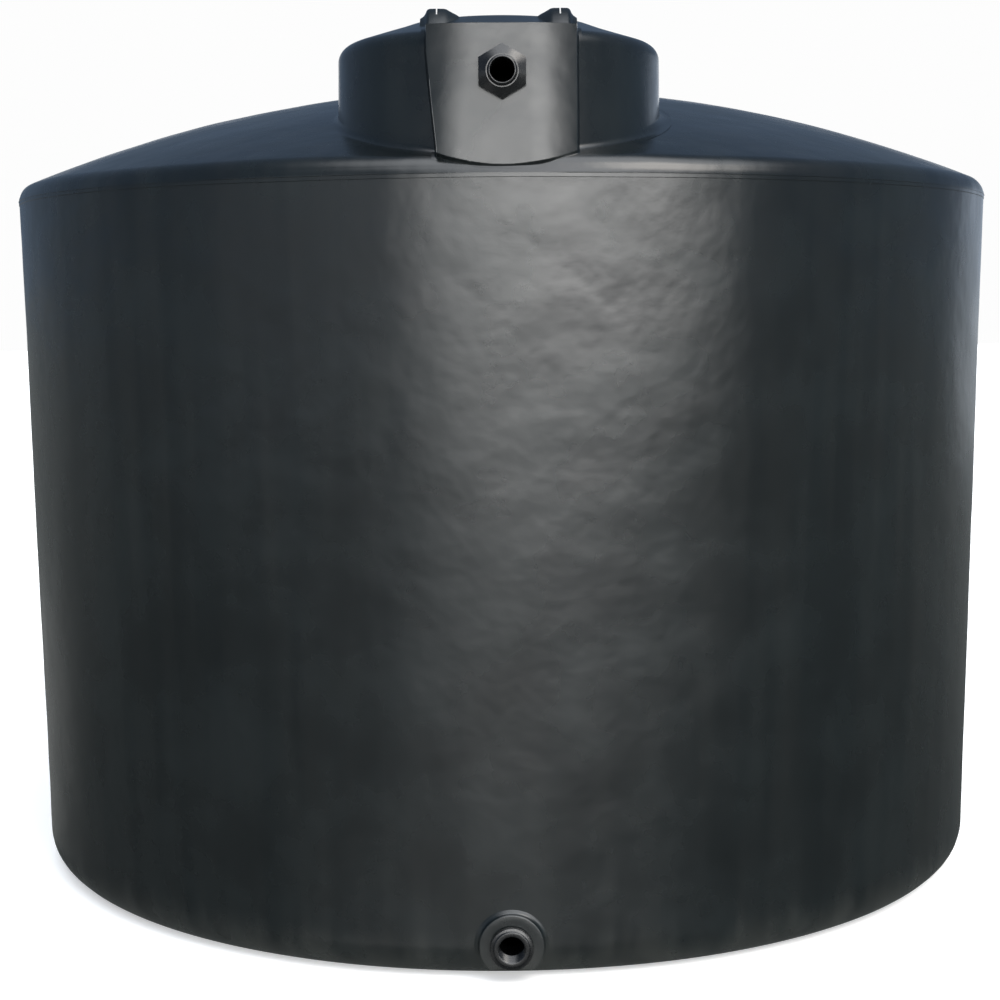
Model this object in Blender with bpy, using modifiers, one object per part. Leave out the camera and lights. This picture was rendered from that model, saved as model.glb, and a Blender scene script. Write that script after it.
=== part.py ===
"""Vertical polyethylene water tank with a flat-fronted inlet neck at its front edge.

Metres, +Z up. The origin is the centre of the tank's underside, and the front, with the
inlet above and the outlet below, looks along -Y.
"""

import math

import bmesh
import bpy

# Driving dimensions of the tank
SHOULDER_RADIUS = 1.2954
BASE_RADIUS = 1.265
SHOULDER_HEIGHT = 1.750
SHELL = 0.008
HEEL_RADIUS = 0.087
SHOULDER_ROUND = 0.046
DOME_RADIUS = 3.257
GAP = 0.0003

# The neck, whose axis stands forward of the tank's
NECK_SIDE = -0.004
NECK_SETBACK = 0.907
NECK_RADIUS = 0.3640
NECK_WALL_TOP = 2.018
NECK_ROUND = 0.038
CROWN_SLOPE = 17.8
CROWN_RADIUS = 0.206
NECK_FOOT = 1.70
BELOW_NECK = 1.5
ABOVE_NECK = 2.5

# The flat face on the neck that carries the inlet
PAD_SIDE = 0.006
PAD_HALF_WIDTH = 0.130
PAD_FACE = 1.293
PAD_BOTTOM = 1.762
PAD_BOTTOM_RISE = 0.030
PAD_TOP = 2.058
PAD_DEPTH = 0.090
PAD_EDGE_ROUND = 0.016

# The manway in the neck's top, whose lid lies in the crown's mouth
RIM_WALL = 0.014
RIM_LIP = 0.003
RIM_SUNK = 0.010
RIM_DEPTH = 0.060
LID_RADIUS = 0.2005
LID_SHEET = 0.004
LID_SEAL = 0.003
LID_CONE_FOOT = 0.184
LID_DISC = 0.100
LID_RISE = 0.015
LID_SKIRT_PLAY = 0.004
LID_SKIRT_WALL = 0.008
LID_SKIRT_DEPTH = 0.024
VENT_NECK = 0.026
VENT_RADIUS = 0.040
VENT_CROWN = 0.034
VENT_LIFT = 0.004
VENT_EDGE = 0.009
VENT_RISE = 0.011

# Lugs round the manway
LUG_PLACE = 0.238
LUG_ANGLE = 34.0
LUG_FOOT = 0.074
LUG_WIDTH = 0.044
LUG_LENGTH = 0.050
LUG_TOP = 2.112
LUG_ROOT = 0.022
LUG_CORNER = 0.006
LUG_CORNER_DROP = 0.004
LUG_CLEAR = 0.001
LUG_SLOT = 0.005
LUG_SLOT_DEPTH = 0.015

# Pipe fittings, both for two-inch pipe
INLET_SIDE = 0.003
INLET_HEIGHT = 1.955
INLET_BORE = 0.0255
INLET_BARREL = 0.0305
INLET_REACH = 0.037
INLET_FLANGE = 0.050
INLET_FLANGE_THICK = 0.012
INLET_SEAL_GAP = 0.006
INLET_SEAL_DEPTH = 0.020
NUT_ACROSS_FLATS = 0.098
NUT_THICKNESS = 0.022
FITTING_BEVEL = 0.002
OUTLET_SIDE = 0.010
OUTLET_HEIGHT = 0.083
OUTLET_BORE = 0.0285
OUTLET_BARREL = 0.0360
OUTLET_FLANGE = 0.047
OUTLET_FLANGE_THICK = 0.014
OUTLET_FLANGE_BEVEL = 0.003
OUTLET_TAIL = 0.030
OUTLET_SEAL_INSET = 0.002
OUTLET_NUT_ACROSS_FLATS = 0.090
OUTLET_NUT_THICKNESS = 0.020
BOSS_RADIUS = 0.072
BOSS_BOTTOM = 0.030
BOSS_FACE = 1.272
BOSS_BACK = 1.215
GASKET = 0.004

TANK_STEPS = 80
NECK_STEPS = 48
FITTING_STEPS = 32
FRONT = (math.radians(90), 0, 0)
FRONT_ANGLE = -90.0
CUTTER_REACH = 0.2
ON_AXIS = GAP / 10
WELD = 0.00001


def clear_scene():
    for old in list(bpy.context.scene.objects):
        bpy.data.objects.remove(old, do_unlink=True)


def collection(name):
    made = bpy.data.collections.new(name)
    bpy.context.scene.collection.children.link(made)
    return made


clear_scene()
TANK = collection("storage_tank")
CUTTERS = collection("cutters")


def material(name, colour, roughness, metallic=0.0):
    made = bpy.data.materials.new(name)
    made.use_nodes = True
    shader = made.node_tree.nodes["Principled BSDF"]
    shader.inputs["Base Color"].default_value = (*colour, 1.0)
    shader.inputs["Roughness"].default_value = roughness
    shader.inputs["Metallic"].default_value = metallic
    return made


POLYETHYLENE = material("black_polyethylene", (0.018, 0.021, 0.024), 0.42)
POLYPROPYLENE = material("black_polypropylene", (0.012, 0.012, 0.013), 0.35)
SEAL_RUBBER = material("seal_rubber", (0.020, 0.020, 0.020), 0.75)


def add_object(name, mesh, stuff, group):
    made = bpy.data.objects.new(name, mesh)
    if stuff:
        mesh.materials.append(stuff)
    group.objects.link(made)
    return made


def add_piece(name, mesh, stuff):
    return add_object(name, mesh, stuff, TANK)


def add_cutter(name, mesh):
    made = add_object(name, mesh, None, CUTTERS)
    made.hide_render = True
    made.display_type = "WIRE"
    return made


def cut(piece, cutter, operation="DIFFERENCE"):
    step = piece.modifiers.new(cutter.name, "BOOLEAN")
    step.operation = operation
    step.object = cutter
    step.solver = "EXACT"


def arc(centre, radius, start, end, count):
    """Points of an arc in degrees, anticlockwise from +X when end is above start."""
    points = []
    for index in range(count + 1):
        angle = math.radians(start + (end - start) * index / count)
        points.append((centre[0] + radius * math.cos(angle), centre[1] + radius * math.sin(angle)))
    return points


def section_mesh(name, section):
    """Edges of a turned piece's section, in the XZ plane. A section that meets the axis stays open."""
    area = sum(a[0] * b[1] - b[0] * a[1] for a, b in zip(section, section[1:] + section[:1]))
    points = section if area < 0 else section[::-1]
    open_at_axis = min(point[0] for point in points) < ON_AXIS
    if open_at_axis:
        while not (points[0][0] < ON_AXIS and points[-1][0] < ON_AXIS):
            points = points[1:] + points[:1]
    edges = [(i, i + 1) for i in range(len(points) - 1)]
    if not open_at_axis:
        edges.append((len(points) - 1, 0))
    mesh = bpy.data.meshes.new(name)
    mesh.from_pydata([(x, 0.0, z) for x, z in points], edges, [])
    return mesh


def turn(piece, steps):
    screw = piece.modifiers.new("turned", "SCREW")
    screw.axis = "Z"
    screw.angle = math.tau
    screw.steps = steps
    screw.render_steps = steps
    screw.use_merge_vertices = True
    screw.merge_threshold = WELD
    screw.use_smooth_shade = False
    piece.rotation_euler.z = math.pi / steps
    return piece


def turned_piece(name, section, stuff, steps, place=(0, 0, 0)):
    piece = turn(add_piece(name, section_mesh(name, section), stuff), steps)
    piece.location = place
    return piece


def turned_cutter(name, section, steps, place=(0, 0, 0)):
    piece = turn(add_cutter(name, section_mesh(name, section)), steps)
    piece.location = place
    return piece


def prism_mesh(name, outline, low, high):
    """A flat outline in XY, given thickness from low to high in Z."""
    mesh = bpy.data.meshes.new(name)
    work = bmesh.new()
    face = work.faces.new([work.verts.new((x, y, low)) for x, y in outline])
    grown = bmesh.ops.extrude_face_region(work, geom=[face])
    moved = [item for item in grown["geom"] if isinstance(item, bmesh.types.BMVert)]
    bmesh.ops.translate(work, verts=moved, vec=(0, 0, high - low))
    bmesh.ops.recalc_face_normals(work, faces=work.faces)
    work.to_mesh(mesh)
    work.free()
    return mesh


def face_front(piece, side, distance, height):
    """Lay a piece that is modelled along +Z so that it looks to the front."""
    piece.rotation_euler = FRONT
    piece.location = (side, -distance, height)
    return piece


def front_hole(name, radius, side, distance, height):
    """A round cutter through what faces the front, to both sides of its face."""
    mesh = bpy.data.meshes.new(name)
    work = bmesh.new()
    bmesh.ops.create_cone(work, cap_ends=True, segments=FITTING_STEPS, radius1=radius, radius2=radius,
                          depth=2 * CUTTER_REACH)
    work.to_mesh(mesh)
    work.free()
    return face_front(add_cutter(name, mesh), side, distance, height)


# Tank outline: heel, wall, shoulder and dome, from the underside up
SHOULDER_CENTRE = (SHOULDER_RADIUS - SHOULDER_ROUND, SHOULDER_HEIGHT)
HEEL_CENTRE = (BASE_RADIUS - HEEL_RADIUS, HEEL_RADIUS)
DOME_CENTRE = SHOULDER_HEIGHT - math.sqrt(
    (DOME_RADIUS - SHOULDER_ROUND) ** 2 - SHOULDER_CENTRE[0] ** 2)
DOME_EDGE_ANGLE = math.degrees(math.atan2(SHOULDER_HEIGHT - DOME_CENTRE, SHOULDER_CENTRE[0]))


def heel_points(inset):
    return arc(HEEL_CENTRE, HEEL_RADIUS - inset, -90, 0, 4)


def roof_points(inset):
    shoulder = arc(SHOULDER_CENTRE, SHOULDER_ROUND - inset, 0, DOME_EDGE_ANGLE, 4)
    dome = arc((0, DOME_CENTRE), DOME_RADIUS - inset, DOME_EDGE_ANGLE, 90, 7)
    dome[-1] = (0.0, dome[-1][1])
    return shoulder + dome[1:]


def wall_section():
    outer = heel_points(0) + [(SHOULDER_RADIUS, SHOULDER_HEIGHT - GAP)]
    inner = heel_points(SHELL) + [(SHOULDER_RADIUS - SHELL, SHOULDER_HEIGHT - GAP)]
    return outer + inner[::-1]


def roof_section():
    return roof_points(0) + roof_points(SHELL)[::-1]


def tank_envelope(grown):
    """The whole tank as one solid, a little larger all round, to cut what stands against it."""
    return [(0.0, -grown)] + heel_points(-grown) + roof_points(-grown)


# Sectors of the round walls and of the roof
WALL_SIDES = ["front", "front_right", "right", "back_right", "back", "back_left", "left", "front_left"]
QUARTERS = ["front", "right", "back", "left"]
WEDGE_REACH = 3.0
WEDGE_LEVELS = (-1.0, 3.0)


def wedge_cutter(name, centre_angle, half_angle, place):
    """An upright wedge from an axis outwards, so that it and the next leave a gap between them."""
    half = math.radians(half_angle)
    start = GAP / 2 / math.sin(half)
    far = (start + WEDGE_REACH * math.cos(half), WEDGE_REACH * math.sin(half))
    outline = [(start, 0.0), (far[0], -far[1]), (far[0], far[1])]
    cutter = add_cutter(name, prism_mesh(name, outline, *WEDGE_LEVELS))
    cutter.rotation_euler.z = math.radians(centre_angle)
    cutter.location = place
    return cutter


def turned_sectors(name, section, steps, sides, place=(0, 0, 0)):
    """A turned shell in equal sectors, the first of them at the front, by side."""
    mesh = section_mesh(name, section)
    mesh.materials.append(POLYETHYLENE)
    step = 360.0 / len(sides)
    pieces = {}
    for index, side in enumerate(sides):
        piece = turn(add_object(f"{name}_{side}", mesh, None, TANK), steps)
        piece.location = place
        wedge = wedge_cutter(f"wedge_{name}_{side}", FRONT_ANGLE + step * index, step / 2, place)
        cut(piece, wedge, "INTERSECT")
        pieces[side] = piece
    return pieces


def build_floor():
    edge = HEEL_CENTRE[0] - GAP
    section = [(0.0, 0.0), (edge, 0.0), (edge, SHELL), (0.0, SHELL)]
    return turned_piece("tank_floor", section, POLYETHYLENE, TANK_STEPS)


# Neck, crown and the flat face for the inlet
NECK_PLACE = (NECK_SIDE, -NECK_SETBACK, 0)
ROUND_CENTRE = (NECK_RADIUS - NECK_ROUND, NECK_WALL_TOP)
SLOPE_START = arc(ROUND_CENTRE, NECK_ROUND, 0, 90 - CROWN_SLOPE, 1)[-1]
CROWN_TOP = SLOPE_START[1] + (SLOPE_START[0] - CROWN_RADIUS) * math.tan(math.radians(CROWN_SLOPE))


def crown_points(inset):
    """The neck's upper edge and sloping top, from the wall in to the manway."""
    edge = arc(ROUND_CENTRE, NECK_ROUND - inset, 0, 90 - CROWN_SLOPE, 5)
    return edge + [(CROWN_RADIUS, CROWN_TOP - inset / math.cos(math.radians(CROWN_SLOPE)))]


def neck_envelope(grown):
    edge = crown_points(-grown)
    return [(0.0, BELOW_NECK), (NECK_RADIUS + grown, BELOW_NECK)] + edge + [(0.0, edge[-1][1])]


def ring_section(inner, outer, low, high):
    return [(inner, low), (outer, low), (outer, high), (inner, high)]


def plug_section(radius, low, high):
    return [(0.0, low), (radius, low), (radius, high), (0.0, high)]


def build_neck(roof):
    """The neck's wall stands on the roof, which is open inside it, and the crown lies on the wall."""
    tube = ring_section(NECK_RADIUS - SHELL, NECK_RADIUS, NECK_FOOT, NECK_WALL_TOP - GAP)
    walls = turned_sectors("neck_wall", tube, NECK_STEPS, QUARTERS, NECK_PLACE)
    tank_body = turned_cutter("tank_body", tank_envelope(GAP), TANK_STEPS)
    for wall in walls.values():
        cut(wall, tank_body)
    crown_section = crown_points(0) + crown_points(SHELL)[::-1]
    turned_piece("neck_crown", crown_section, POLYETHYLENE, NECK_STEPS, NECK_PLACE)
    mouth = plug_section(NECK_RADIUS - SHELL, BELOW_NECK, ABOVE_NECK)
    cut(roof["front"], turned_cutter("neck_mouth", mouth, NECK_STEPS, NECK_PLACE))
    return walls["front"], tank_body


def tongue_outline(half_width, bottom, rise, top, steps=12):
    """An upright plate whose lower end is one shallow arc."""
    radius = (half_width ** 2 + rise ** 2) / (2 * rise)
    spread = math.degrees(math.asin(half_width / radius))
    lower = arc((0.0, bottom + radius), radius, -90 - spread, -90 + spread, steps)
    return lower + [(half_width, top), (-half_width, top)]


def round_side_edges(mesh, half_width, radius, segments=3):
    """Round the two long upright edges of a plate's front face."""
    work = bmesh.new()
    work.from_mesh(mesh)
    sides = [edge for edge in work.edges
             if all(abs(abs(v.co.x) - half_width) < WELD and abs(v.co.z) < WELD for v in edge.verts)
             and edge.calc_length() > half_width]
    bmesh.ops.bevel(work, geom=sides, offset=radius, segments=segments, profile=0.5, affect="EDGES")
    work.to_mesh(mesh)
    work.free()


def build_pad(tank_body):
    outline = tongue_outline(PAD_HALF_WIDTH, PAD_BOTTOM, PAD_BOTTOM_RISE, PAD_TOP)
    plate = prism_mesh("inlet_pad", outline, -PAD_DEPTH, 0.0)
    round_side_edges(plate, PAD_HALF_WIDTH, PAD_EDGE_ROUND)
    pad = add_piece("inlet_pad", plate, POLYETHYLENE)
    face_front(pad, PAD_SIDE, PAD_FACE, 0.0)
    cut(pad, tank_body)
    cut(pad, turned_cutter("neck_body", neck_envelope(GAP), NECK_STEPS, NECK_PLACE))
    return pad


# Manway rim and lid
def build_manway():
    """The rim lines the crown's mouth, and the low lid lies with its gasket on the rim's ledge."""
    inner = CROWN_RADIUS - RIM_WALL
    outer = CROWN_RADIUS - GAP
    rim_top = CROWN_TOP - RIM_SUNK
    foot = CROWN_TOP - RIM_DEPTH
    rim = [(inner, foot), (outer, foot), (outer, CROWN_TOP), (outer - RIM_LIP, CROWN_TOP),
           (outer - RIM_LIP, rim_top), (inner, rim_top)]
    turned_piece("manway_rim", rim, POLYETHYLENE, NECK_STEPS, NECK_PLACE)
    seal_top = rim_top + GAP + LID_SEAL
    seal = ring_section(inner, LID_RADIUS, rim_top + GAP, seal_top)
    turned_piece("lid_gasket", seal, SEAL_RUBBER, NECK_STEPS, NECK_PLACE)
    low = seal_top + GAP
    edge_top = low + LID_SHEET
    high = edge_top + LID_RISE
    skirt = inner - LID_SKIRT_PLAY
    skirt_foot = rim_top - LID_SKIRT_DEPTH
    lid = [(0.0, low), (skirt - LID_SKIRT_WALL, low), (skirt - LID_SKIRT_WALL, skirt_foot),
           (skirt, skirt_foot), (skirt, low), (LID_RADIUS, low), (LID_RADIUS, edge_top),
           (LID_CONE_FOOT, edge_top), (LID_DISC, high), (0.0, high)]
    turned_piece("manway_lid", lid, POLYETHYLENE, NECK_STEPS, NECK_PLACE)
    vent_foot = high + GAP
    vent = [(0.0, vent_foot), (VENT_NECK, vent_foot), (VENT_NECK, vent_foot + VENT_LIFT),
            (VENT_RADIUS, vent_foot + VENT_LIFT), (VENT_CROWN, vent_foot + VENT_EDGE),
            (0.0, vent_foot + VENT_RISE)]
    turned_piece("lid_vent_cap", vent, POLYPROPYLENE, FITTING_STEPS, NECK_PLACE)


def build_lugs():
    """Four moulded lugs round the manway, each slotted for a lid tie or a lifting strap."""
    neck_body = turned_cutter("crown_body", neck_envelope(GAP), NECK_STEPS, NECK_PLACE)
    mouth = plug_section(CROWN_RADIUS + LUG_CLEAR, BELOW_NECK, ABOVE_NECK)
    lid_space = turned_cutter("lid_space", mouth, NECK_STEPS, NECK_PLACE)
    foot = LUG_TOP - CROWN_TOP + LUG_ROOT
    top = LUG_WIDTH / 2
    outline = [(-LUG_FOOT / 2, -foot), (LUG_FOOT / 2, -foot), (top, -LUG_CORNER_DROP),
               (top - LUG_CORNER, 0.0), (LUG_CORNER - top, 0.0), (-top, -LUG_CORNER_DROP)]
    slot_outline = [(-LUG_SLOT / 2, -LUG_SLOT_DEPTH), (LUG_SLOT / 2, -LUG_SLOT_DEPTH),
                    (LUG_SLOT / 2, LUG_SLOT_DEPTH), (-LUG_SLOT / 2, LUG_SLOT_DEPTH)]
    places = {"front_right": FRONT_ANGLE + LUG_ANGLE, "back_right": -FRONT_ANGLE - LUG_ANGLE,
              "back_left": -FRONT_ANGLE + LUG_ANGLE, "front_left": FRONT_ANGLE - LUG_ANGLE}
    for side, angle in places.items():
        turned_to = math.radians(angle)
        out = LUG_PLACE * math.cos(turned_to) + NECK_SIDE
        forward = NECK_SETBACK - LUG_PLACE * math.sin(turned_to)
        name = "lifting_lug_" + side
        lug = add_piece(name, prism_mesh(name, outline, -LUG_LENGTH / 2, LUG_LENGTH / 2), POLYETHYLENE)
        face_front(lug, out, forward, LUG_TOP)
        slot = add_cutter("slot_" + side, prism_mesh("slot_" + side, slot_outline, -LUG_LENGTH, LUG_LENGTH))
        face_front(slot, out, forward, LUG_TOP)
        cut(lug, neck_body)
        cut(lug, lid_space)
        cut(lug, slot)


# Pipe fittings
def hex_mesh(name, across_flats, low, high):
    mesh = bpy.data.meshes.new(name)
    work = bmesh.new()
    corner = across_flats / math.sqrt(3)
    bmesh.ops.create_cone(work, cap_ends=True, segments=6, radius1=corner, radius2=corner, depth=high - low)
    bmesh.ops.translate(work, verts=work.verts, vec=(0, 0, (low + high) / 2))
    work.to_mesh(mesh)
    work.free()
    return mesh


def build_inlet(pad, neck_front):
    place = (INLET_SIDE, PAD_FACE, INLET_HEIGHT)
    hole = front_hole("inlet_hole", INLET_BARREL + GAP, *place)
    cut(pad, hole)
    cut(neck_front, hole)
    nut = add_piece("inlet_nut", hex_mesh("inlet_nut", NUT_ACROSS_FLATS, GAP, NUT_THICKNESS), POLYPROPYLENE)
    face_front(nut, *place)
    cut(nut, hole)
    inner_wall = NECK_SETBACK + NECK_RADIUS - SHELL
    flange_face = inner_wall - PAD_FACE - INLET_SEAL_GAP
    flange_back = flange_face - INLET_FLANGE_THICK
    barrel = [(INLET_BORE, flange_back), (INLET_FLANGE, flange_back), (INLET_FLANGE, flange_face),
              (INLET_BARREL, flange_face), (INLET_BARREL, INLET_REACH - FITTING_BEVEL),
              (INLET_BARREL - FITTING_BEVEL, INLET_REACH), (INLET_BORE, INLET_REACH)]
    body = turn(add_piece("inlet_body", section_mesh("inlet_body", barrel), POLYPROPYLENE), FITTING_STEPS)
    face_front(body, *place)
    ring = ring_section(INLET_BARREL + GAP, INLET_FLANGE, flange_face + GAP, flange_face + INLET_SEAL_DEPTH)
    seal = turn(add_piece("inlet_gasket", section_mesh("inlet_gasket", ring), SEAL_RUBBER), FITTING_STEPS)
    face_front(seal, *place)
    hollow = plug_section(NECK_RADIUS - SHELL - GAP, BELOW_NECK, ABOVE_NECK)
    cut(seal, turned_cutter("neck_hollow", hollow, NECK_STEPS, NECK_PLACE), "INTERSECT")


def boss_outline(radius, steps=18):
    """A round boss cut level at its foot, where the heel of the wall turns under."""
    foot = math.degrees(math.asin((OUTLET_HEIGHT - BOSS_BOTTOM) / radius))
    return arc((0, 0), radius, -foot, 180 + foot, steps)


def build_outlet(wall_front):
    place = (OUTLET_SIDE, BOSS_FACE, OUTLET_HEIGHT)
    depth = BOSS_FACE - BOSS_BACK
    boss = add_piece("outlet_boss", prism_mesh("outlet_boss", boss_outline(BOSS_RADIUS), -depth, 0.0),
                     POLYETHYLENE)
    face_front(boss, *place)
    recess_outline = boss_outline(BOSS_RADIUS + GAP)
    recess = add_cutter("boss_recess", prism_mesh("boss_recess", recess_outline, -CUTTER_REACH, CUTTER_REACH))
    face_front(recess, *place)
    cut(wall_front, recess)
    hole = front_hole("outlet_hole", OUTLET_BARREL + GAP, *place)
    cut(boss, hole)
    ring = ring_section(OUTLET_BARREL + GAP, OUTLET_FLANGE - OUTLET_SEAL_INSET, GAP, GASKET)
    seal = turn(add_piece("outlet_gasket", section_mesh("outlet_gasket", ring), SEAL_RUBBER), FITTING_STEPS)
    face_front(seal, *place)
    seat = GASKET + GAP
    front = seat + OUTLET_FLANGE_THICK
    tail = -depth - OUTLET_TAIL
    barrel = [(OUTLET_BORE, tail), (OUTLET_BARREL, tail), (OUTLET_BARREL, seat),
              (OUTLET_FLANGE, seat), (OUTLET_FLANGE, front - OUTLET_FLANGE_BEVEL),
              (OUTLET_FLANGE - OUTLET_FLANGE_BEVEL, front), (OUTLET_BORE, front)]
    body = turn(add_piece("outlet_body", section_mesh("outlet_body", barrel), POLYPROPYLENE), FITTING_STEPS)
    face_front(body, *place)
    nut_mesh = hex_mesh("outlet_nut", OUTLET_NUT_ACROSS_FLATS, -depth - OUTLET_NUT_THICKNESS, -depth - GAP)
    nut = add_piece("outlet_nut", nut_mesh, POLYPROPYLENE)
    face_front(nut, *place)
    cut(nut, hole)


def main():
    walls = turned_sectors("wall", wall_section(), TANK_STEPS, WALL_SIDES)
    roof = turned_sectors("roof", roof_section(), TANK_STEPS, QUARTERS)
    build_floor()
    neck_front, tank_body = build_neck(roof)
    pad = build_pad(tank_body)
    build_manway()
    build_lugs()
    build_inlet(pad, neck_front)
    build_outlet(walls["front"])


main()
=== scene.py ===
import math

import bmesh
import bpy
from mathutils import Matrix, Vector, noise


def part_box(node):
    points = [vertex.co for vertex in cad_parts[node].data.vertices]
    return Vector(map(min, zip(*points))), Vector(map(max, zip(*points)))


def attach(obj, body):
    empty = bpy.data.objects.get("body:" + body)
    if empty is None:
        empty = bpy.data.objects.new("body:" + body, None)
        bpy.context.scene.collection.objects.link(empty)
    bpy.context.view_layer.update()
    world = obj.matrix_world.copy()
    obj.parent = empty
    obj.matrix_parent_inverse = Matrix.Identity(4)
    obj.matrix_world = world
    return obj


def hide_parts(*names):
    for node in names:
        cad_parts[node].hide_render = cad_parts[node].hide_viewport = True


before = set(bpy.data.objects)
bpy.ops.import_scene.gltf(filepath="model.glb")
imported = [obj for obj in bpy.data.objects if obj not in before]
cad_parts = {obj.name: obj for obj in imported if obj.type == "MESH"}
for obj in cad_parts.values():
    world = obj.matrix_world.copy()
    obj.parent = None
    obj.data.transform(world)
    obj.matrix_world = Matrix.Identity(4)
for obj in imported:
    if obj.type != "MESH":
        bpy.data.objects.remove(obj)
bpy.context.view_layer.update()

# Camera
# It stands in front of the tank at head height and looks slightly down, as in the photograph.
# Distance, height, tilt, roll and focal length come from fitting the tank's outline in the photo.
CAMERA_DISTANCE = 5.219
CAMERA_HEIGHT = 1.4753
CAMERA_TILT = 0.10399
CAMERA_ROLL = -0.00748
FOCAL_PIXELS = 1867.5
FRAME_PIXELS = 1000
AXIS_PIXEL = 503.9
SENSOR = 36.0

scene = bpy.context.scene
camera_data = bpy.data.cameras.new("camera")
camera_data.sensor_width = SENSOR
camera_data.lens = FOCAL_PIXELS / FRAME_PIXELS * SENSOR
camera_data.shift_x = (FRAME_PIXELS / 2 - AXIS_PIXEL) / FRAME_PIXELS
camera = bpy.data.objects.new("camera", camera_data)
scene.collection.objects.link(camera)
look = Matrix.Rotation(math.pi / 2 - CAMERA_TILT, 4, "X") @ Matrix.Rotation(CAMERA_ROLL, 4, "Z")
camera.rotation_euler = look.to_euler()
camera.location = (0, -CAMERA_DISTANCE, CAMERA_HEIGHT)
scene.camera = camera


# Floor and light
# A pale floor, and a studio dome of light that is dim all round, so that the black plastic stays
# black. Wide soft windows in it, low in front and behind, draw the long glare on the round wall.
def linear(code):
    """An sRGB hex colour as the linear values that the shaders take."""
    parts = [int(code[i:i + 2], 16) / 255 for i in (1, 3, 5)]
    return tuple(c / 12.92 if c <= 0.04045 else ((c + 0.055) / 1.055) ** 2.4 for c in parts) + (1.0,)


def add_node(tree, kind, inputs=None, **settings):
    """One shader node with its settings. An input takes a link, a number, a vector or a hex colour."""
    node = tree.nodes.new("ShaderNode" + kind)
    for key, value in settings.items():
        setattr(node, key, value)
    for key, value in (inputs or {}).items():
        if isinstance(value, bpy.types.NodeSocket):
            tree.links.new(value, node.inputs[key])
        else:
            node.inputs[key].default_value = linear(value) if isinstance(value, str) else value
    return node


def add_object(name, content):
    """Put a mesh or a lamp into the scene as an object."""
    made = bpy.data.objects.new(name, content)
    scene.collection.objects.link(made)
    return made


FLOOR_SIZE = 120.0
FLOOR_SUNK = 0.001
FLOOR_COLOUR = "#e8e8e6"
FLOOR_ROUGHNESS = 0.9
FLOOR_GLOW = 0.42
BACKDROP = "#fdfdfd"
floor_mesh = bpy.data.meshes.new("studio_floor")
work = bmesh.new()
bmesh.ops.create_grid(work, x_segments=1, y_segments=1, size=FLOOR_SIZE / 2)
work.to_mesh(floor_mesh)
work.free()
floor = add_object("studio_floor", floor_mesh)
floor.location.z = -FLOOR_SUNK
floor.visible_glossy = False
# Matt white paper, evenly lit: it has no gloss and gives the eye nothing but the tank's soft shadow.
paint = bpy.data.materials.new("matt_white_studio_paper")
paint.use_nodes = True
shader = paint.node_tree.nodes["Principled BSDF"]
shader.inputs["Base Color"].default_value = linear(FLOOR_COLOUR)
shader.inputs["Roughness"].default_value = FLOOR_ROUGHNESS
shader.inputs["Specular IOR Level"].default_value = 0.0
shader.inputs["Emission Color"].default_value = linear("#ffffff")
shader.inputs["Emission Strength"].default_value = FLOOR_GLOW
floor_mesh.materials.append(paint)

# Each window: compass angle from the front towards +X, half width and soft edge in degrees, the
# sines of the height angles between which it fades in and out, its brightness and its colour.
WINDOWS = [
    (15.0, 24.0, 14.0, (-0.02, 0.03), (0.08, 0.16), 11.5, "#fffdf8"),
    (15.0, 23.5, 13.0, (0.00, 0.06), (0.35, 0.70), 3.7, "#fcfdff"),
    (-14.0, 44.0, 28.0, (-0.14, 0.00), (0.03, 0.12), 0.75, "#f4f8ff"),
    (5.0, 10.0, 22.0, (-0.36, -0.10), (-0.02, 0.06), 1.15, "#ffffff"),
    (-14.0, 28.0, 18.0, (-0.60, -0.50), (-0.36, -0.33), 0.5, "#fbf8f4"),
    (180.0, 11.0, 10.0, (-0.04, 0.02), (0.10, 0.22), 2.3, "#fffdf8"),
    (150.0, 17.0, 3.0, (-0.12, -0.02), (0.08, 0.20), 0.6, "#e8f2ff"),
    (-152.0, 20.0, 9.0, (-0.30, -0.25), (-0.18, -0.12), 0.17, "#fbfbf8"),
]
# A round patch of bright sky over the front: compass and height angle, half width and soft edge.
GLOW_AT = (20.0, 60.0)
GLOW_HALF = 31.0
GLOW_SOFT = 12.0
GLOW = 4.2
GLOW_COLOUR = "#fafcff"
# Heights, again as sines, between which the sky and the ground change their colours.
SKY_CHANGE = (0.02, 0.55)
GROUND_CHANGE = (-0.30, 0.0)
HORIZON_CHANGE = (-0.03, 0.03)
SKY_HORIZON = "#74879e"
SKY_HIGH = "#657892"
GROUND_NEAR = "#5e6262"
GROUND_FAR = "#888d8d"

scene.view_settings.view_transform = "Standard"
world = bpy.data.worlds.new("studio_light")
scene.world = world
world.use_nodes = True
tree = world.node_tree
tree.nodes.clear()
direction = add_node(tree, "TexCoord").outputs["Generated"]
height = add_node(tree, "SeparateXYZ", {0: direction}).outputs["Z"]
high, far, rising = (add_node(tree, "MapRange", {"Value": height, "From Min": start, "From Max": end},
                              interpolation_type="SMOOTHSTEP").outputs[0]
                     for start, end in (SKY_CHANGE, GROUND_CHANGE, HORIZON_CHANGE))
sky = add_node(tree, "Mix", {0: high, 6: SKY_HORIZON, 7: SKY_HIGH}, data_type="RGBA").outputs[2]
ground = add_node(tree, "Mix", {0: far, 6: GROUND_NEAR, 7: GROUND_FAR}, data_type="RGBA").outputs[2]
light = add_node(tree, "Mix", {0: rising, 6: ground, 7: sky}, data_type="RGBA").outputs[2]
level = add_node(tree, "VectorMath", {0: direction, 1: (1.0, 1.0, 0.0)}, operation="MULTIPLY").outputs[0]
level = add_node(tree, "VectorMath", {0: level}, operation="NORMALIZE").outputs[0]
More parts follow.
